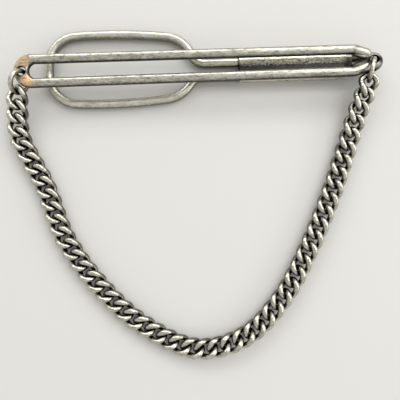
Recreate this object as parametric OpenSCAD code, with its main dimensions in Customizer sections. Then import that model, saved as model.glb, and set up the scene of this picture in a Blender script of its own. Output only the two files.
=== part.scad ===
// Wire tie clip with a swag chain, lying on its back.
// X runs along the bar from the rounded end to the fold, Y across it away from the chain,
// and Z up from the table to the front of the clip. Lengths are in millimetres.

/* [Front frame] */
// Length of the clip, from the rounded tip to the outside of the fold
bar_len = 69.8; // [64:0.1:78]
// Width of the half-round rail wire
rail_w = 1.8; // [1.5:0.05:2]
// Height of the half-round rail wire, from its flat back to its crown
rail_h = 1.25; // [1:0.05:1.5]
// Distance between the rails' centres beside the rounded end
tab_spread = 4.5; // [4.2:0.05:5]
// Distance between the rails' centres where they start to draw together
neck_spread = 4.15; // [3.8:0.05:4.6]
// Distance between the rails' centres at their tips, where they are drawn together
pinch_spread = 2.6; // [2.2:0.05:2.8]
// Distance from the outside of the fold back to where the rails start to draw together
neck_setback = 6.3; // [5.5:0.1:7]
// Distance from the outside of the fold back to the centres of the rails' rounded tips
rail_setback = 3.55; // [3.4:0.05:4]
// Centreline radius of the bend where the rails start to draw together
neck_r = 2.5; // [1.5:0.1:3.5]
// Solid metal between the rounded tip and the slot
tab_len = 2.8; // [2.6:0.05:3.4]
// Height of the hammered end at its tip
tip_h = 1; // [0.9:0.05:1.1]
// Length over which the hammering thins the clip towards its tip
taper_len = 7; // [5.5:0.1:9]

/* [Eyes] */
// Bore of the two eyes that carry the chain
eye_d = 1.55; // [1.5:0.05:1.8]
// Rounding of the eyes' edges
eye_round = 0.45; // [0.3:0.05:0.45]
// Metal between the left eye and the tip
tip_web = 0.72; // [0.6:0.02:0.8]
// Distance from the right eye's centre to the outside of the fold
eye_setback = 2.2; // [2.1:0.05:2.6]

/* [Fold and rear leg] */
// Width of the half-round strap that folds under
strap_w = 3.4; // [3:0.05:3.8]
// Height of the strap at its crown
strap_h = 1.1; // [0.9:0.05:1.3]
// Clear height of the jaw at the fold
fold_gap = 2.15; // [2.1:0.05:2.4]
// How far the strap runs under the pinched rails
strap_lap = 4; // [3.6:0.1:4.4]
// Length of the notch that narrows into the strap's end, between the rails
notch_len = 2.1; // [1.6:0.1:2.4]
// Half width of the notch where it starts
notch_r = 1.1; // [0.8:0.05:1.2]
// Half width of the notch where it ends
notch_end_r = 0.15; // [0.1:0.05:0.3]
// How far the rear leg enters the sleeve
leg_grip = 3; // [2:0.1:5]

/* [Sleeve] */
// Length of the sleeve
sleeve_len = 20.6; // [14:0.1:26]
// Wall of the sleeve
sleeve_wall = 0.25; // [0.2:0.01:0.35]
// Distance from the outside of the fold to the sleeve
sleeve_setback = 6.6; // [6.2:0.1:10]

/* [Spring loop] */
// Diameter of the spring wire
spring_d = 1.7; // [1.4:0.05:1.9]
// Distance between the two shanks' centres
shank_spread = 2.8; // [2.6:0.05:3.2]
// Clearance between the spring wire and the inside of the sleeve
solder_gap = 0.02; // [0.01:0.01:0.05]
// How far the shanks enter the sleeve
shank_grip = 8; // [5:0.5:9]
// Distance from the sleeve to the end of the loop's shoulders
shank_len = 6.7; // [6:0.1:9]
// How much further from the sleeve the lower shoulder ends than the upper one
shoulder_lag = 0.75; // [0:0.05:1]
// Length of the loop along its centreline, from its far end to the upper shoulder's end
loop_len = 30.4; // [28:0.1:32]
// Reach of the loop's upper side from the axis, at its far end
upper_far = 7.5; // [7:0.05:7.8]
// Reach of the loop's upper side from the axis, at the shoulder
upper_near = 6.9; // [6.4:0.05:7.4]
// Reach of the loop's lower side from the axis, at its far end
lower_far = 5.75; // [5.6:0.05:6.4]
// Reach of the loop's lower side from the axis, at the shoulder
lower_near = 5.35; // [5:0.05:5.8]
// Centreline radius of the loop's two far corners
far_corner_r = 5.75; // [5:0.05:6]
// Centreline radius of the loop's two corners at the shoulders
near_corner_r = 6.05; // [5.4:0.05:6.4]
// Centreline radius of the loop's two long sides, which bow outwards
side_r = 110; // [90:5:300]
// Centreline radius of the inward bends beside the shanks
shoulder_r = 2.6; // [2:0.1:3.2]

/* [Chain] */
// Number of curb links
link_count = 50; // [46:1:52]
// Diameter of the chain's wire
link_wire = 1.1; // [1:0.02:1.14]
// Overall width of a link
link_w = 3.95; // [3.9:0.05:4.1]
// Play between two links, along the chain
link_play = 0.08; // [0.04:0.01:0.12]
// Diameter of the end rings' wire
ring_wire = 0.86; // [0.8:0.02:0.88]
// Centreline diameter of the end rings
ring_d = 4.1; // [4.04:0.02:4.2]
// How far the chain hangs below the axis of the bar
chain_drop = 54.1; // [50:0.1:60]
// Length over which either end of the chain comes down to the table
drop_run = 18; // [15:0.5:22]
// Lean of the links on the side of the fold
lean_angle = 20; // [0:1:24]

/* [Hidden] */
link_name = function(i) str("link_", i < 10 ? "0" : "", i);
$fn = 48;

// Overrun of every cut
cut = 0.5;

// Height of the chain's lowest wire above the table
link_rest = 0.03;

// How far a joint between two runs of wire stands proud, and how far short of it they stop
joint_bead = 0.012;
joint_gap = 0.04;

// Heights, from the table up
sleeve_h = spring_d + 2 * (solder_gap + sleeve_wall);
arm_z = sleeve_h / 2;
leg_top = arm_z + strap_h / 2;
frame_z = leg_top + fold_gap;
tab_mid_z = frame_z + tip_h / 2;
neck_mid_z = frame_z + strap_h / 2;

// Places along the bar, with the bar's middle at zero. The slot's end runs a little into the
// rails beside it, and the plate there stands a little above them.
tip_x = -bar_len / 2;
fold_end_x = bar_len / 2;
fold_inner_r = fold_gap / 2;
fold_x = fold_end_x - fold_inner_r - strap_h;
tab_r = tab_spread / 2;
tab_x = tip_x + tab_r + rail_w / 2;
slot_inset = 0.05;
plate_proud = 0.07;
slot_end_r = tab_r - rail_w / 2 + slot_inset;
slot_x = tip_x + tab_len + slot_end_r;
plate_h = (tip_h + rail_h) / 2 + plate_proud;
left_eye_x = tip_x + tip_web + eye_d / 2;
right_eye_x = fold_end_x - eye_setback;
neck_x = fold_end_x - neck_setback;
sleeve_x1 = fold_end_x - sleeve_setback;
sleeve_x0 = sleeve_x1 - sleeve_len;
shoulder_x = sleeve_x0 - shank_len;
loop_x = shoulder_x - loop_len;

// Slope of each rail: it touches the round end's circle and meets the neck at half its spread
neck_reach = norm([neck_x - tab_x, neck_spread / 2]);
neck_bearing = atan2(neck_spread / 2, neck_x - tab_x);
rail_slope = asin(tab_r / neck_reach) - neck_bearing;
rail_len = sqrt(neck_reach * neck_reach - tab_r * tab_r);

// Neck: a bend from the rail's own slope to a steeper one, which runs straight to the tip
neck_run = neck_setback - rail_setback + neck_r * sin(rail_slope);
neck_rise = neck_r * cos(rail_slope) - (neck_spread - pinch_spread) / 2;
neck_turn = asin(neck_r / norm([neck_run, neck_rise])) - atan2(neck_rise, neck_run);

// Slope of a link's flanks, and how far one of them lies from the chain's own line
flank_tilt = 45;
flank_y = (link_wire - link_w) / 2;

// End rings: roll, droop and direction in plan, how far off the middle of its eye each one's
// wire passes, and where the chain's own line starts inside it
ring_play = 0.08;
left_ring_turns = [19.3, 8.8, -108.9];
left_ring_set = 0.05;
right_ring_turns = [17, 7.4, -103];
right_ring_set = 0.15;
left_eye = [left_eye_x, 0, tab_mid_z];
right_eye = [right_eye_x, 0, neck_mid_z];
function chain_end(eye, turns, set) = let (
        reach = ring_d - set - (ring_wire + link_wire) / 2 - ring_play,
        droop = turns.y,
        dir = turns.z
    ) eye + reach * [cos(dir) * cos(droop), sin(dir) * cos(droop), -sin(droop)];
left_start = chain_end(left_eye, left_ring_turns, left_ring_set);
right_start = chain_end(right_eye, right_ring_turns, right_ring_set);

// Plan of the hanging chain: shares of the distance between the eyes, from the left eye,
// and shares of the drop
eye_span = right_eye_x - left_eye_x;
route_shares = [
    [-0.024, 0.11], [-0.025, 0.229], [0.04, 0.405], [0.092, 0.587], [0.181, 0.752],
    [0.308, 0.905], [0.467, 1], [0.614, 0.961], [0.724, 0.831], [0.803, 0.666],
    [0.869, 0.49], [0.925, 0.31], [0.96, 0.173], [0.982, 0.098]
];
route_knots = concat(
    [[left_start.x, left_start.y]],
    [for (s = route_shares) [left_eye_x + s.x * eye_span, -s.y * chain_drop]],
    [[right_start.x, right_start.y]]
);

// Points of a smooth curve in plan through the knots
knot_steps = 12;
last_knot = len(route_knots) - 1;
function knot(i) = i < 0 ? 2 * route_knots[0] - route_knots[1]
    : i > last_knot ? 2 * route_knots[last_knot] - route_knots[last_knot - 1]
    : route_knots[i];
function between(a, b, c, d, t) =
    ((2 * b) + (c - a) * t + (2 * a - 5 * b + 4 * c - d) * t * t
    + (3 * b - a - 3 * c + d) * t * t * t) / 2;
plan = concat(
    [for (i = [0:last_knot - 1], n = [0:knot_steps - 1])
        between(knot(i - 1), knot(i), knot(i + 1), knot(i + 2), n / knot_steps)],
    [route_knots[last_knot]]
);

// Distance along a run of points at each of them
function run_lengths(path, i = 1, total = 0, out = [0]) = i == len(path) ? out
    : let (d = total + norm(path[i] - path[i - 1])) run_lengths(path, i + 1, d, concat(out, [d]));
plan_run = run_lengths(plan);
plan_len = plan_run[len(plan_run) - 1];

// Lean of the chain at a share of its length: a little at either end, where a link has to turn
// into its ring, and more on the side of the fold
left_end_lean = -6;
left_end_share = 0.08;
right_end_lean = 25;
right_end_share = 0.18;
lean_from = 0.4;
lean_share = 0.2;
function smooth_step(t) = let (u = min(max(t, 0), 1)) u * u * (3 - 2 * u);
function lean_at(t) = let (right_end = smooth_step((1 - t) / right_end_share))
    left_end_lean * (1 - smooth_step(t / left_end_share))
    - lean_angle * smooth_step((t - lean_from) / lean_share) * right_end
    + right_end_lean * (1 - right_end);

// Pitch of the links, and the half length of a link that it asks for. The chain is a little
// longer than its plan, because it comes down from the rings.
climb_share = 0.004;
link_pitch = ((1 + climb_share) * plan_len - link_wire - link_play) / link_count;
link_a = (link_pitch + link_wire + link_play) / 2;

// One bend of a link, from the middle of its end to its flank: a single arc in a leaning plane
bend_m = norm([flank_y * cos(flank_tilt), link_a * sin(flank_tilt)]);
flank_x = link_a - bend_m;
flank_z = flank_x * tan(flank_tilt);
bend_from = [link_a, 0, 0];
bend_to = [flank_x, flank_y, flank_z];
bend_heading = [0, flank_y * cos(flank_tilt) / bend_m, link_a * sin(flank_tilt) / bend_m];
flank_heading = [-cos(flank_tilt), 0, -sin(flank_tilt)];
bend_angle = acos(bend_heading * flank_heading);
bend_r = norm(bend_to - bend_from) / (2 * sin(bend_angle / 2));
bend_inward = (flank_heading - bend_heading * cos(bend_angle)) / sin(bend_angle);
bend_centre = bend_from + bend_r * bend_inward;
bend_normal = cross(bend_inward, bend_heading);

// Points along one bend, for measuring a leaning link
bend_steps = 16;
bend_points = [for (n = [0:bend_steps]) let (t = bend_angle * n / bend_steps)
    bend_centre - bend_r * bend_inward * cos(t) + bend_r * bend_heading * sin(t)];
function stand_height(lean) = link_rest
    + max([for (p = bend_points) abs(p.z * cos(lean)) + abs(p.y * sin(lean))]) + link_wire / 2;

// The chain's own line: it comes down from either ring to the table
function ease_out(t) = let (u = min(max(t, 0), 1)) u * (2 - u);
function height_at(s) = let (table_z = stand_height(lean_at(s / plan_len)))
    table_z + (left_start.z - table_z) * (1 - ease_out(s / drop_run))
    + (right_start.z - table_z) * (1 - ease_out((plan_len - s) / drop_run));
route = [for (i = [0:len(plan) - 1]) [plan[i].x, plan[i].y, height_at(plan_run[i])]];
route_run = run_lengths(route);
route_len = route_run[len(route_run) - 1];

// Place, heading and lean of each link
function piece_at(s, i = 1) = i == len(route) - 1 || route_run[i] >= s ? i : piece_at(s, i + 1);
function spot_at(s) = let (
        i = piece_at(s),
        t = (s - route_run[i - 1]) / (route_run[i] - route_run[i - 1])
    ) route[i - 1] + (route[i] - route[i - 1]) * t;
function link_s(i) = link_a + (i - 1) * (route_len - 2 * link_a) / (link_count - 1);
function link_frame(i) = let (
        s = link_s(i),
        p = spot_at(s),
        t = spot_at(s + link_a) - spot_at(s - link_a),
        x = t / norm(t),
        side = cross([0, 0, 1], x),
        y0 = side / norm(side),
        z0 = cross(x, y0),
        lean = lean_at(s / route_len),
        y = y0 * cos(lean) + z0 * sin(lean),
        z = z0 * cos(lean) - y0 * sin(lean)
    ) [[x.x, y.x, z.x, p.x], [x.y, y.y, z.y, p.y], [x.z, y.z, z.z, p.z], [0, 0, 0, 1]];

// Reach of the whole part in plan, so that its origin lies under the middle of it
function link_reach(i, axis) = let (m = link_frame(i))
    [for (p = bend_points, sx = [-1, 1], sy = [-1, 1])
        m[axis][3] + m[axis][0] * p.x * sx + m[axis][1] * p.y * sy + m[axis][2] * p.z * sx * sy];
reach_x = [for (i = [1:link_count]) each link_reach(i, 0)];
reach_y = [for (i = [1:link_count]) each link_reach(i, 1)];
mid_x = (min(min(reach_x) - link_wire / 2, tip_x) + max(max(reach_x) + link_wire / 2, fold_end_x)) / 2;
mid_y = (min(reach_y) - link_wire / 2 + upper_far + spring_d / 2) / 2;

module placed() {
    translate([-mid_x, -mid_y, 0])
        children();
}

// A circle cut flat along the X axis, with its crown at height h
module half_round(w, h) {
    intersection() {
        translate([0, h - w / 2])
            circle(d = w);
        translate([-w, 0])
            square([2 * w, w + h]);
    }
}

// Round wire arc about the origin, which stops just short of the joint at either end
module wire_arc(d, r, from, turn) {
    short = joint_gap / r * 180 / PI;
    rotate([0, 0, from + short])
        rotate_extrude(angle = turn - 2 * short)
            translate([r, 0])
                circle(d = d);
}

// Straight wire in plan from one point to another, which stops just short of the joints
module wire_line(d, from, to) {
    translate([from.x, from.y, 0])
        rotate([0, 90, atan2(to.y - from.y, to.x - from.x)])
            translate([0, 0, joint_gap])
                cylinder(d = d, h = norm(to - from) - 2 * joint_gap);
}

// Joint between two runs of wire: a ball a hair larger than the wire, with its poles along it
module wire_joint(d, at, heading) {
    translate(at)
        rotate([0, -90, heading])
            sphere(d = d + 2 * joint_bead);
}

// Cutter for an eye: a bore through a plate of thickness t, with rounded edges
module eye_cutter(t) {
    r = eye_d / 2;
    translate([0, 0, -t / 2 - cut])
        cylinder(r = r, h = t + 2 * cut);
    for (side = [0, 180])
        rotate([side, 0, 0])
            translate([0, 0, t / 2 - eye_round])
                rotate_extrude()
                    difference() {
                        square([r + eye_round, eye_round + cut]);
                        translate([r + eye_round, 0])
                            circle(r = eye_round);
                    }
}

// One rail with its share of the round end and of the neck, still of round wire;
// the other rail is its mirror image
module rail() {
    rail_start = tab_r * [sin(rail_slope), cos(rail_slope)];
    neck_start = [neck_x - tab_x, neck_spread / 2];
    neck_c = neck_start - neck_r * [sin(rail_slope), cos(rail_slope)];
    neck_end = neck_c + neck_r * [sin(neck_turn), cos(neck_turn)];
    rail_stop = [fold_end_x - rail_setback - tab_x, pinch_spread / 2];
    wire_arc(rail_w, tab_r, 90 - rail_slope, 90 + rail_slope);
    wire_line(rail_w, rail_start, neck_start);
    translate([neck_c.x, neck_c.y, 0])
        wire_arc(rail_w, neck_r, 90 - neck_turn, neck_turn - rail_slope);
    wire_line(rail_w, neck_end, rail_stop);
    wire_joint(rail_w, rail_start, -rail_slope);
    wire_joint(rail_w, neck_start, -rail_slope);
    wire_joint(rail_w, neck_end, -neck_turn);
    wire_joint(rail_w, rail_stop, -neck_turn);
}

// Plate between the rails at the round end, with the rounded end of the slot cut from it
module tab_plate() {
    difference() {
        linear_extrude(plate_h)
            intersection() {
                union() {
                    circle(r = tab_r);
                    translate([0, -tab_r])
                        square([slot_x - tab_x, 2 * tab_r]);
                }
                translate([-tab_r, -tab_r])
                    square([tab_r + slot_x - tab_x, 2 * tab_r]);
            }
        translate([slot_x - tab_x, 0, 0])
            rotate_extrude()
                difference() {
                    translate([0, -cut])
                        square([tab_r, plate_h + 2 * cut]);
                    translate([tab_r, rail_h - rail_w / 2])
                        circle(r = rail_w / 2 - slot_inset);
                }
    }
}

// Cutter for the hammered face, which rises from the tip to the rails' crown
module hammered_face() {
    translate([-tab_r - rail_w / 2, 0, tip_h])
        rotate([0, -atan2(rail_h - tip_h, taper_len), 0])
            translate([-cut, -tab_r - rail_w, 0])
                cube([taper_len + 2 * cut, 2 * (tab_r + rail_w), rail_w]);
}

// Front leg of the strap, under the pinched rails, and the fold itself. A notch runs into the
// leg's end and narrows to a slit between the rails.
module strap_fold() {
    difference() {
        translate([fold_x - strap_lap, 0, frame_z])
            rotate([90, 0, 90])
                linear_extrude(strap_lap)
                    half_round(strap_w, strap_h);
        translate([fold_x - strap_lap, 0, frame_z + strap_h])
            rotate([0, 90, 0])
                cylinder(r1 = notch_r, r2 = notch_end_r, h = notch_len);
    }
    translate([fold_x, 0, frame_z - fold_inner_r])
        rotate([90, 0, 0])
            rotate([0, 0, -90])
                rotate_extrude(angle = 180)
                    translate([fold_inner_r, 0])
                        rotate([0, 0, -90])
                            half_round(strap_w, strap_h);
}

// Both rails and the round end, with their backs cut flat
module rails() {
    translate([tab_x, 0, frame_z])
        difference() {
            union() {
                translate([0, 0, rail_h - rail_w / 2]) {
                    rail();
                    mirror([0, 1, 0])
                        rail();
                    wire_joint(rail_w, [-tab_r, 0, 0], 90);
                }
                tab_plate();
            }
            translate([-tab_r - rail_w, -tab_r - rail_w, -rail_w])
                cube([bar_len + 2 * rail_w, 2 * (tab_r + rail_w), rail_w]);
            hammered_face();
        }
}

module front_frame() {
    color("silver")
        placed()
            difference() {
                union() {
                    rails();
                    strap_fold();
                }
                translate(left_eye)
                    eye_cutter(tip_h);
                translate(right_eye)
                    eye_cutter(strap_h);
            }
}

module rear_leg() {
    color("silver")
        placed()
            translate([sleeve_x1 - leg_grip, 0, leg_top])
                rotate([-90, 0, -90])
                    linear_extrude(fold_x - sleeve_x1 + leg_grip)
                        half_round(strap_w, strap_h);
}

// Flattened tube outline of a given height, round at its two long edges
module flat_tube(h) {
    for (side = [-1, 1])
        translate([side * shank_spread / 2, 0])
            circle(d = h);
    translate([-shank_spread / 2, -h / 2])
        square([shank_spread, h]);
}

module sleeve() {
    color("gainsboro")
        placed()
            translate([sleeve_x0, 0, arm_z])
                rotate([90, 0, 90])
                    linear_extrude(sleeve_len)
                        difference() {
                            flat_tube(sleeve_h);
                            flat_tube(spring_d + 2 * solder_gap);
                        }
}

// One side of the loop: far corner, side, near corner, shoulder and shank. The side's arc
// touches both corners' circles from outside.
module loop_side(far, near, shoulder_x) {
    sweep = near_corner_r + shoulder_r;
    turn = acos((shank_spread / 2 + shoulder_r - near + near_corner_r) / sweep);
    far_c = [loop_x + far_corner_r, far - far_corner_r];
    near_c = [shoulder_x - sweep * sin(turn), near - near_corner_r];
    apart = norm(near_c - far_c);
    far_reach = side_r - far_corner_r;
    near_reach = side_r - near_corner_r;
    side_bearing = atan2(near_c.y - far_c.y, near_c.x - far_c.x)
        - acos((far_reach * far_reach + apart * apart - near_reach * near_reach)
            / (2 * far_reach * apart));
    side_c = far_c + far_reach * [cos(side_bearing), sin(side_bearing)];
    from_angle = atan2(far_c.y - side_c.y, far_c.x - side_c.x);
    to_angle = atan2(near_c.y - side_c.y, near_c.x - side_c.x);
    side_from = side_c + side_r * [cos(from_angle), sin(from_angle)];
    side_to = side_c + side_r * [cos(to_angle), sin(to_angle)];
    shoulder = near_c + near_corner_r * [sin(turn), cos(turn)];
    shank_from = [shoulder_x, shank_spread / 2];
    shank_to = [sleeve_x0 + shank_grip, shank_spread / 2];
    translate([far_c.x, far_c.y, 0])
        wire_arc(spring_d, far_corner_r, from_angle, 180 - from_angle);
    translate([side_c.x, side_c.y, 0])
        wire_arc(spring_d, side_r, to_angle, from_angle - to_angle);
    translate([near_c.x, near_c.y, 0])
        wire_arc(spring_d, near_corner_r, 90 - turn, to_angle - 90 + turn);
    translate([shoulder_x, shank_spread / 2 + shoulder_r, 0])
        wire_arc(spring_d, shoulder_r, 270 - turn, turn);
    wire_line(spring_d, shank_from, shank_to);
    wire_joint(spring_d, [loop_x, far_c.y], 90);
    wire_joint(spring_d, side_from, from_angle - 90);
    wire_joint(spring_d, side_to, to_angle - 90);
    wire_joint(spring_d, shoulder, -turn);
    wire_joint(spring_d, shank_from, 0);
}

module spring_loop() {
    color("darkgray")
        placed()
            translate([0, 0, arm_z]) {
                loop_side(upper_far, upper_near, shoulder_x);
                mirror([0, 1, 0])
                    loop_side(lower_far, lower_near, shoulder_x - shoulder_lag);
                wire_line(spring_d, [loop_x, far_corner_r - lower_far],
                    [loop_x, upper_far - far_corner_r]);
            }
}

// A ring through an eye, drooping away from it in a direction in plan
module end_ring(eye, turns, set) {
    color("silver")
        placed()
            translate(eye)
                rotate([0, turns.y, turns.z])
                    translate([ring_d / 2 - set, 0, 0])
                        rotate([90 + turns.x, 0, 0])
                            rotate_extrude()
                                translate([ring_d / 2, 0])
                                    circle(d = ring_wire);
}

module left_end_ring() {
    end_ring(left_eye, left_ring_turns, left_ring_set);
}

module right_end_ring() {
    end_ring(right_eye, right_ring_turns, right_ring_set);
}

// Joint between two quarters of a link
module link_ball() {
    sphere(d = link_wire + 2 * joint_bead);
}

// One quarter of a curb link: a bend, in the plane that its arc lies in
module link_bend() {
    x = -bend_inward;
    y = bend_heading;
    z = -bend_normal;
    c = bend_centre;
    multmatrix([[x.x, y.x, z.x, c.x], [x.y, y.y, z.y, c.y], [x.z, y.z, z.z, c.z], [0, 0, 0, 1]])
        wire_arc(link_wire, bend_r, 0, bend_angle);
    translate(bend_to)
        link_ball();
}

// Half of a curb link: a bend at either end of a flank that runs straight and sloping
module link_side() {
    flank_half = flank_x / cos(flank_tilt);
    link_bend();
    rotate([0, 180, 0])
        link_bend();
    rotate([0, -flank_tilt, 0])
        wire_line(link_wire, [-flank_half, flank_y], [flank_half, flank_y]);
    translate(bend_from)
        link_ball();
}

module curb_link(i) {
    color("lightgray")
        placed()
            multmatrix(link_frame(i)) {
                link_side();
                rotate([0, 0, 180])
                    link_side();
            }
}

front_frame();
rear_leg();
sleeve();
spring_loop();
left_end_ring();
right_end_ring();
for (i = [1:link_count]) {
    curb_link(i);
}
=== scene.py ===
# %% [markdown]
# # A tie clip with a swag chain
#
# The object is a wire tie clip from the middle of the last century. It lies on its back, and its
# curb chain hangs from both ends in a wide swag. Everything on it is metal, and each piece was
# made another way: rails of half-round wire, a folded strap, a hammered sleeve, drawn spring wire
# and fifty twisted links. This lesson dresses the solids that the frame brings in, one finish
# at a time, and lights them for a camera that looks straight down.

import math

import bpy
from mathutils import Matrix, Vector


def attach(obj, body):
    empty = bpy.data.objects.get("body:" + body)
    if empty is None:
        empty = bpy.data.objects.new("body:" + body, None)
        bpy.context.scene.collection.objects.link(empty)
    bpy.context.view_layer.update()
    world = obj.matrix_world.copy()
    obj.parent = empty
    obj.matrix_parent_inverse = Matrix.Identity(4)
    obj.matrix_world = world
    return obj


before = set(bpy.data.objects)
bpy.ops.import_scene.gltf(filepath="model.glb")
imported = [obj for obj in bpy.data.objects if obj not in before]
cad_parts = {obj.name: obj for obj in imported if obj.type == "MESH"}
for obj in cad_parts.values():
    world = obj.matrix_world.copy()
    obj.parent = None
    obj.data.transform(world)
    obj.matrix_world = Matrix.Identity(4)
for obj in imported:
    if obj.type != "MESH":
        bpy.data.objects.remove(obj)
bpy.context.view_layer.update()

# %% [markdown]
# The camera comes first, because each finish is judged through it. The photograph was taken from
# straight above, 79 mm over the table, with a lens as long as its picture is wide. The bar runs a
# little uphill in the picture, so the camera turns by that angle about its own axis instead of
# the clip being turned.

# %% Camera
MM = 0.001
BAR_TILT = math.radians(1.9)
CAMERA_PLACE = Vector((0.446, -1.292, 79.35)) * MM
camera_data = bpy.data.cameras.new("camera_above")
camera_data.sensor_width = 36
camera_data.lens = 36
camera_data.clip_start = 5 * MM
camera_data.clip_end = 10
camera = bpy.data.objects.new("camera_above", camera_data)
camera.location = CAMERA_PLACE
camera.rotation_euler = (0, 0, -BAR_TILT)
bpy.context.scene.collection.objects.link(camera)
bpy.context.scene.camera = camera
print("camera height:", camera.location.z / MM, "mm")

# %% [markdown]
# A metal's colour is written as it is picked on a screen, in sRGB hex. Shaders work in linear
# light, so one function turns the hex value into linear numbers. A second one adds a node to a
# material, sets its inputs and joins it to the nodes before it, which keeps each recipe short.

# %% Helpers for materials
def linear(hex_colour):
    """An sRGB hex colour as linear red, green, blue and alpha."""
    parts = [int(hex_colour[i:i + 2], 16) / 255 for i in (1, 3, 5)]
    return [p / 12.92 if p <= 0.04045 else ((p + 0.055) / 1.055) ** 2.4 for p in parts] + [1.0]


def add_node(material, kind, inputs=None, **settings):
    """Adds a node. Inputs are values, or outputs of other nodes to join."""
    node = material.node_tree.nodes.new(kind)
    for name, value in settings.items():
        setattr(node, name, value)
    for name, value in (inputs or {}).items():
        if isinstance(value, bpy.types.NodeSocket):
            material.node_tree.links.new(value, node.inputs[name])
        else:
            node.inputs[name].default_value = value
    return node


def new_material(name):
    """An empty material with a Principled shader, and that shader."""
    material = bpy.data.materials.new(name)
    material.use_nodes = True
    return material, material.node_tree.nodes["Principled BSDF"]


# %% [markdown]
# The whole clip was dipped in a dark bath and then rubbed bright, as old silver plate is. So each
# finish starts from two colours: a rubbed one on what a cloth or a finger reaches, and a dark one
# where it doesn't. The dark one is painted shade as well. An Ambient Occlusion node finds the
# closed corners, because it measures how open each point of the metal is, from any side: there
# the dark colour is the bath's patina in the hollows and painted shade together. The normal tells
# how
# steep a flank is: the nearer its Z is to 0, the more painted shade it gets. Noise breaks both
# borders up into spots.

# %% Where patina and painted shade stay
SPOT_MM = 0.45
FLANK_STEEP, FLANK_FLAT = 0.35, 0.9


def patina_and_painted_shade(material, place, normal_z, reach_mm, closed, open_from, flank):
    """A mask, 1 where the dark colour goes: patina in the hollows and painted shade.

    The dark colour is whole where a point is as closed as closed, and gone where it is as open as
    open_from. On steep flanks the share flank of it is painted on as shade.
    """
    open_air = add_node(material, "ShaderNodeAmbientOcclusion", {"Distance": reach_mm * MM},
                        samples=8)
    spots = add_node(material, "ShaderNodeTexNoise",
                     {"Vector": place, "Scale": 1 / (SPOT_MM * MM), "Detail": 4.0})
    lift = add_node(material, "ShaderNodeMath",
                    {0: spots.outputs["Fac"], 1: 0.5, 2: -0.25}, operation="MULTIPLY_ADD")
    level = add_node(material, "ShaderNodeMath",
                     {0: open_air.outputs["AO"], 1: lift.outputs[0]}, operation="ADD")
    corner = add_node(material, "ShaderNodeMapRange",
                      {"Value": level.outputs[0], "From Min": closed, "From Max": open_from,
                       "To Min": 1.0, "To Max": 0.0}, interpolation_type="SMOOTHSTEP")
    flat = add_node(material, "ShaderNodeMath", {0: normal_z, 1: lift.outputs[0]},
                    operation="ADD")
    side = add_node(material, "ShaderNodeMapRange",
                    {"Value": flat.outputs[0], "From Min": FLANK_STEEP,
                     "From Max": FLANK_FLAT, "To Min": flank, "To Max": 0.0},
                    interpolation_type="SMOOTHSTEP")
    mask = add_node(material, "ShaderNodeMath",
                    {0: corner.outputs["Result"], 1: side.outputs["Result"]},
                    operation="MAXIMUM")
    return mask.outputs[0]


# %% [markdown]
# Silver plate on brass is warm grey where it is rubbed, and brown-black where the bath stayed and
# where shade is painted.
# Four fields of noise give it age. Tones drift between two greys in streaks along the bar. Pits
# of about a quarter of a millimetre hold a last trace of the bath, and give the grey its grain.
# Dents break the highlights up. Scratches from being pushed on and off a tie are noise that is
# stretched six times along X, and they change the roughness too.

# %% Aged silver plate
PIT_MM, PIT_STRETCH = 0.26, 3
SCRATCH_MM, SCRATCH_STRETCH = 0.12, 6
DENT_DEPTH = 0.05 * MM
SCRATCH_DEPTH = 0.02 * MM


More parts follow.
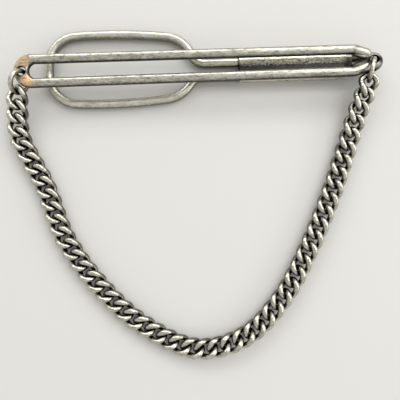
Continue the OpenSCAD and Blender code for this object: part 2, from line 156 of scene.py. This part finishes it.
def aged_silver(name, rubbed, dark, patina_and_shade_setting, rough, pitted, tone_mm=0.7, dent_mm=0.45,
                dented=0.4, wear_and_shade=None):
    """Old silver plate with corners dark from patina and painted shade, flanks darkened by
    painted shade, pits, small dents and scratches along the bar.

    The argument after dark holds the last four values of the mask of patina and painted shade.
    pitted is the dark colour's share in the pits, dented the strength of the dents, and the last
    argument a function that adds the piece's own wear and painted shade to its colour.
    """
    material, shader = new_material(name)
    links = material.node_tree.links
    source = add_node(material, "ShaderNodeTexCoord")
    place = source.outputs["Object"]
    facing = add_node(material, "ShaderNodeSeparateXYZ", {"Vector": source.outputs["Normal"]})
    normal_z = add_node(material, "ShaderNodeMath", {0: facing.outputs["Z"]},
                        operation="ABSOLUTE")
    mask = patina_and_painted_shade(material, place, normal_z.outputs[0], *patina_and_shade_setting)

    along = add_node(material, "ShaderNodeMapping",
                     {"Vector": place, "Scale": (1 / PIT_STRETCH, 1, 1)})
    tones = add_node(material, "ShaderNodeTexNoise",
                     {"Vector": along.outputs["Vector"], "Scale": 1 / (tone_mm * MM),
                      "Detail": 5.0, "Roughness": 0.65})
    tone = add_node(material, "ShaderNodeMapRange",
                    {"Value": tones.outputs["Fac"], "From Min": 0.32, "From Max": 0.68})
    colours = add_node(material, "ShaderNodeMix", {"Factor": tone.outputs["Result"]},
                       data_type="RGBA")
    colours.inputs["A"].default_value = linear(rubbed[0])
    colours.inputs["B"].default_value = linear(rubbed[1])
    colour = colours.outputs["Result"]
    if wear_and_shade:
        colour = wear_and_shade(material, place, colour)

    pits = add_node(material, "ShaderNodeTexNoise",
                    {"Vector": along.outputs["Vector"], "Scale": 1 / (PIT_MM * MM),
                     "Detail": 3.0})
    pit_share = add_node(material, "ShaderNodeMapRange",
                         {"Value": pits.outputs["Fac"], "From Min": 0.52, "From Max": 0.7,
                          "To Min": 0.0, "To Max": pitted})
    # The dark colour goes on as patina in the pits and hollows, and as painted shade in closed
    # corners and on steep flanks.
    patina_and_shade_share = add_node(material, "ShaderNodeMath",
                          {0: mask, 1: pit_share.outputs["Result"]}, operation="MAXIMUM")
    mix = add_node(material, "ShaderNodeMix", {"Factor": patina_and_shade_share.outputs[0], "A": colour},
                   data_type="RGBA")
    mix.inputs["B"].default_value = linear(dark)

    far_along = add_node(material, "ShaderNodeMapping",
                         {"Vector": place, "Scale": (1 / SCRATCH_STRETCH, 1, 1)})
    scratches = add_node(material, "ShaderNodeTexNoise",
                         {"Vector": far_along.outputs["Vector"],
                          "Scale": 1 / (SCRATCH_MM * MM), "Detail": 3.0})
    dents = add_node(material, "ShaderNodeTexNoise",
                     {"Vector": place, "Scale": 1 / (dent_mm * MM), "Detail": 3.0})
    roughness = add_node(material, "ShaderNodeMapRange",
                         {"Value": scratches.outputs["Fac"], "From Min": 0.3, "From Max": 0.7,
                          "To Min": rough[0], "To Max": rough[1]})
    with_dents = add_node(material, "ShaderNodeBump",
                          {"Height": dents.outputs["Fac"], "Strength": dented,
                           "Distance": DENT_DEPTH})
    scratched = add_node(material, "ShaderNodeBump",
                         {"Height": scratches.outputs["Fac"], "Strength": 0.2,
                          "Distance": SCRATCH_DEPTH, "Normal": with_dents.outputs["Normal"]})
    links.new(mix.outputs["Result"], shader.inputs["Base Color"])
    links.new(roughness.outputs["Result"], shader.inputs["Roughness"])
    links.new(scratched.outputs["Normal"], shader.inputs["Normal"])
    shader.inputs["Metallic"].default_value = 1.0
    print("finish:", name)
    return material


# %% [markdown]
# On the rounded end the plate has worn through to the brass, in one patch on either side of the
# eye. Each patch is a soft ball about a point on the tab, broken up by noise.

# %% Worn patches of brass
BOX_MIDDLE = Vector((-1.22651, -23.9383, 0)) * MM
BRASS = "#ffd29e"


def on_part(x, y, z=0):
    """A point given from the middle of the bar, in millimetres, as a place in the frame."""
    return Vector((x, y, z)) * MM - BOX_MIDDLE


WORN_SPOTS = [(on_part(-33.2, 2.1, 4.9), 1.7 * MM), (on_part(-32.7, -2.1, 4.9), 1.8 * MM)]


def worn_brass(material, place, colour):
    """Brass that shows through the plate in patches."""
    edge = add_node(material, "ShaderNodeTexNoise",
                    {"Vector": place, "Scale": 1 / (0.6 * MM), "Detail": 4.0})
    for middle, reach in WORN_SPOTS:
        away = add_node(material, "ShaderNodeVectorMath", {0: place, 1: middle},
                        operation="DISTANCE")
        share = add_node(material, "ShaderNodeMath",
                         {0: away.outputs["Value"], 1: 1 / reach, 2: edge.outputs["Fac"]},
                         operation="MULTIPLY_ADD")
        patch = add_node(material, "ShaderNodeMapRange",
                         {"Value": share.outputs[0], "From Min": 1.0, "From Max": 1.5,
                          "To Min": 0.8, "To Max": 0.0})
        mix = add_node(material, "ShaderNodeMix",
                       {"Factor": patch.outputs["Result"], "A": colour}, data_type="RGBA")
        mix.inputs["B"].default_value = linear(BRASS)
        colour = mix.outputs["Result"]
    return colour


# %% [markdown]
# Three stretches get painted shade. In front of the fold, between the rails' tips, a groove is
# painted black where shade falls. On the sleeve the flat face is painted dark, in among the
# hammer marks, while the rounded far edge stays bright, as shade and light fall on a rounded
# face. The shanks are painted black where they enter the sleeve, as the shadow in the gap at its
# mouth. Each is a strip along the bar, with a ragged border.

# %% Painted shade along a strip
PAINTED_SHADE_BLACK = "#0c0b09"
END_FADE_MM = 0.5


def painted_shade_strip(material, place, colour, x_from, middle_y, half_width, border, share):
    """Paints shade, darkening a colour along a strip of the bar that starts at x_from, in
    millimetres.
    """
    spot = add_node(material, "ShaderNodeSeparateXYZ", {"Vector": place})
    grain = add_node(material, "ShaderNodeTexNoise",
                     {"Vector": place, "Scale": 1 / (0.3 * MM), "Detail": 4.0})
    away = add_node(material, "ShaderNodeMath",
                    {0: spot.outputs["Y"], 1: on_part(0, middle_y).y}, operation="SUBTRACT")
    side = add_node(material, "ShaderNodeMath", {0: away.outputs[0]}, operation="ABSOLUTE")
    ragged = add_node(material, "ShaderNodeMath",
                      {0: grain.outputs["Fac"], 1: border * MM, 2: side.outputs[0]},
                      operation="MULTIPLY_ADD")
    across = add_node(material, "ShaderNodeMapRange",
                      {"Value": ragged.outputs[0], "From Min": half_width * MM,
                       "From Max": (half_width + border) * MM, "To Min": share, "To Max": 0.0})
    along = add_node(material, "ShaderNodeMapRange",
                     {"Value": spot.outputs["X"], "From Min": on_part(x_from, 0).x,
                      "From Max": on_part(x_from + END_FADE_MM, 0).x})
    strength = add_node(material, "ShaderNodeMath",
                        {0: across.outputs["Result"], 1: along.outputs["Result"]},
                        operation="MULTIPLY")
    # Painted shade: the colour goes black along the strip.
    mix = add_node(material, "ShaderNodeMix", {"Factor": strength.outputs[0], "A": colour},
                   data_type="RGBA")
    mix.inputs["B"].default_value = linear(PAINTED_SHADE_BLACK)
    return mix.outputs["Result"]


def worn_brass_and_groove_shade(material, place, colour):
    """The front's marks: brass showing through on the rounded end, and painted shade, black,
    between the tips.
    """
    colour = worn_brass(material, place, colour)
    return painted_shade_strip(material, place, colour, x_from=28, middle_y=0, half_width=0.55,
                      border=0.5, share=0.97)


def shanks_painted_shade(material, place, colour):
    """The spring wire beside the sleeve, painted black as the shadow in the gap at the sleeve's
    mouth.
    """
    return painted_shade_strip(material, place, colour, x_from=7.15, middle_y=0, half_width=3,
                      border=0.5, share=0.97)


def sleeve_face_painted_shade(material, place, colour):
    """Painted shade on the sleeve's flat face, dark as far as its rounded far edge."""
    return painted_shade_strip(material, place, colour, x_from=7, middle_y=-0.6, half_width=1.35,
                      border=0.9, share=0.95)


# %% [markdown]
# Now the finishes themselves. All five are the same plate in another state: what differs is how
# bright it was rubbed, how deep the patina and the painted shade reach into its corners and
# flanks, and how rough it is.

# %% Finishes
# Dark colours for patina in the hollows and pits, and for painted shade in closed corners and on
# steep flanks.
PATINA_AND_SHADE_DARK = "#14120f"
CHAIN_PATINA_AND_SHADE_DARK = "#0b0a09"

# Grey and satin, with bright upper edges, flanks darkened by painted shade and brass on the
# rounded end.
silver_plate = aged_silver("aged_silver_plate", rubbed=("#a5a295", "#e2dfd2"), dark=PATINA_AND_SHADE_DARK,
                           patina_and_shade_setting=(1.2, 0.3, 0.62, 0.9), rough=(0.26, 0.42), pitted=0.6,
                           wear_and_shade=worn_brass_and_groove_shade)
# Smoother and paler than the rails: drawn wire has few pits, and light runs along it. The
# shanks are painted black as shade where they enter the sleeve.
spring_wire = aged_silver("drawn_spring_wire", rubbed=("#c9c6b8", "#f1eee1"), dark=PATINA_AND_SHADE_DARK,
                          patina_and_shade_setting=(1.2, 0.28, 0.6, 0.75), rough=(0.28, 0.42), pitted=0.35,
                          wear_and_shade=shanks_painted_shade)
# Sparkling crowns over recesses painted black, as patina and as shade, so that each link stands
# out from the next.
chain_silver = aged_silver("rubbed_chain_silver", rubbed=("#b0ad9f", "#eeeadb"),
                           dark=CHAIN_PATINA_AND_SHADE_DARK, patina_and_shade_setting=(1.0, 0.48, 0.86, 0.75), rough=(0.18, 0.36),
                           pitted=0.4, tone_mm=0.5, dent_mm=0.4, dented=0.9)
# Pale flecks on a dark ground: the hammer left facets, and the bath stayed between them. The
# flat face is painted dark with shade as far as its rounded far edge.
hammered_silver = aged_silver("hammered_silver", rubbed=("#cdc9ba", "#fffcf0"), dark=PATINA_AND_SHADE_DARK,
                              patina_and_shade_setting=(1.0, 0.1, 0.4, 0.2), rough=(0.2, 0.4), pitted=0.7,
                              tone_mm=0.3, dent_mm=0.5, dented=1.0, wear_and_shade=sleeve_face_painted_shade)
# Dull, and painted dark as shade: the leg lies in the shade behind the front.
strap_in_shade = aged_silver("strap_silver_painted_shade", rubbed=("#4a483f", "#77746a"), dark=PATINA_AND_SHADE_DARK,
                          patina_and_shade_setting=(1.2, 0.35, 0.75, 0.8), rough=(0.4, 0.55), pitted=0.7)

# %% [markdown]
# The solids come in with fine facets, finer than the picture can show. Smooth shading hides them,
# but a solid's true edges, such as the flat back of a half-round wire, have to stay crisp. A Weld
# modifier joins the loose triangles, and an Edge Split modifier opens them again only where two
# faces meet at more than 35 degrees.

# %% Dress the solids
WELD_MM = 0.001
CRISP_ANGLE = math.radians(35)
FINISHES = {
    "front_frame": silver_plate,
    "rear_leg": strap_in_shade,
    "sleeve": hammered_silver,
    "spring_loop": spring_wire,
    "left_end_ring": chain_silver,
    "right_end_ring": chain_silver,
}


def dress(piece, material):
    """Gives a solid its finish, with smooth faces and crisp edges."""
    piece.data.materials.clear()
    piece.data.materials.append(material)
    piece.data.polygons.foreach_set("use_smooth", [True] * len(piece.data.polygons))
    weld = piece.modifiers.new("weld", "WELD")
    weld.merge_threshold = WELD_MM * MM
    split = piece.modifiers.new("crisp_edges", "EDGE_SPLIT")
    split.split_angle = CRISP_ANGLE
    split.use_edge_sharp = False


for name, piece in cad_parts.items():
    dress(piece, FINISHES.get(name, chain_silver))
print("dressed:", len(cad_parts), "nodes")

# %% [markdown]
# The floor is plain and pale, and reaches far past the picture. The clip lies on its spring arm,
# so the floor rides on that body: when the clip opens, the arm stays on the floor and the front
# lifts off it, as it does when a finger raises the bar from a table.

# %% Floor
FLOOR_WIDTH = 3000 * MM
pale_floor, floor_shader = new_material("pale_floor")
floor_shader.inputs["Base Color"].default_value = linear("#dddcd8")
floor_shader.inputs["Roughness"].default_value = 0.9

bpy.ops.mesh.primitive_plane_add(size=FLOOR_WIDTH, location=(0, 0, 0))
floor = bpy.context.object
floor.name = "floor"
floor.data.materials.append(pale_floor)
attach(floor, "spring_arm")
print("floor:", FLOOR_WIDTH / MM, "mm wide, riding on spring_arm")

# %% [markdown]
# The light comes from three soft lamps, each a little under a metre away. A broad one stands high
# beyond the fold: the crowns on that half of the clip mirror it as a wide band. A long, low one
# on the far side draws a bright line along the upper edge of each rail, all the way to the
# rounded end. The third, beside the fold, brightens the outer flanks of the chain. A pale, even
# world fills the rest: it keeps the shadows open and is the backdrop of the side views.

# %% Lights
def soft_lamp(name, place_mm, aim_mm, size_mm, watts):
    """A rectangular area lamp that looks at a point. Its size is width and height."""
    data = bpy.data.lights.new(name, "AREA")
    data.shape = "RECTANGLE"
    data.size, data.size_y = size_mm[0] * MM, size_mm[1] * MM
    data.energy = watts
    lamp = bpy.data.objects.new(name, data)
    lamp.location = Vector(place_mm) * MM
    aim = Vector(aim_mm) * MM - lamp.location
    lamp.rotation_euler = aim.to_track_quat("-Z", "Y").to_euler()
    bpy.context.scene.collection.objects.link(lamp)
    print(name, watts, "W")


soft_lamp("broad_lamp", place_mm=(450, 400, 600), aim_mm=(450, 400, 0),
          size_mm=(660, 800), watts=3.3)
soft_lamp("low_lamp", place_mm=(-180, 750, 525), aim_mm=(-60, 72, 12),
          size_mm=(1080, 270), watts=3.4)
soft_lamp("side_lamp", place_mm=(780, -90, 330), aim_mm=(60, 0, 0),
          size_mm=(720, 270), watts=1.5)

world = bpy.data.worlds.new("soft_studio")
world.use_nodes = True
background = world.node_tree.nodes["Background"]
background.inputs["Color"].default_value = linear("#e4e3e0")
background.inputs["Strength"].default_value = 0.78
bpy.context.scene.world = world
bpy.context.scene.view_settings.view_transform = "Standard"
